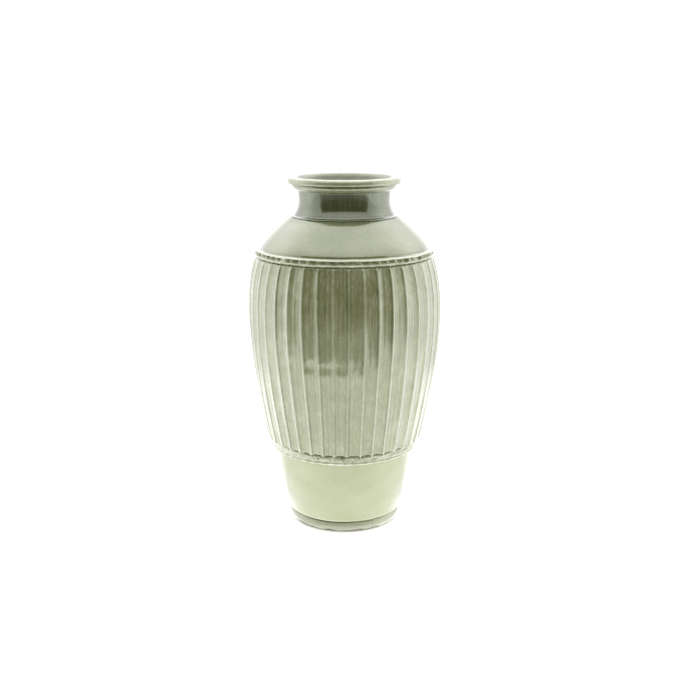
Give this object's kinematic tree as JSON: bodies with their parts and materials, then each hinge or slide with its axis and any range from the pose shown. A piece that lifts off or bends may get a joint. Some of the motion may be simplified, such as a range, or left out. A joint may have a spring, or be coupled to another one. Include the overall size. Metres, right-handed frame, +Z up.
{
  "type": "fluted stoneware vase",
  "caption": "Tall glazed stoneware vase: rolled lip, waisted neck, domed shoulder, fluted belly between two strips, plain tapering base and foot ring.",
  "frame": {"origin": "centre of the resting face of the foot ring, on the pot's axis", "axes": "+Z up along the pot's axis; -Y is the side seen in the picture"},
  "size_m": [0.2194, 0.2194, 0.4],
  "materials": {
    "foot_glaze": "thin glaze over pale clay, bare clay on the resting edge",
    "lower_glaze": "glossy sage green",
    "strip_glaze": "glossy, pale on the ridges and dark in the hollows",
    "flute_glaze": "glossy sage green, pale on the arrises and pooled darker in the flutes",
    "shoulder_glaze": "glossy sage green",
    "neck_glaze": "glossy sage green",
    "lip_glaze": "glossy, thin and pale over the roll",
    "liner_glaze": "glossy grey green"
  },
  "bodies": {
    "root": {"foot_ring": "foot_glaze", "lower_body": "lower_glaze", "lower_band": "strip_glaze", "fluted_body": "flute_glaze", "upper_band": "strip_glaze", "shoulder": "shoulder_glaze", "neck_ring": "shoulder_glaze", "neck": "neck_glaze", "lip_step": "neck_glaze", "lip": "lip_glaze", "liner_glaze": "liner_glaze"}
  },
  "joints": []
}
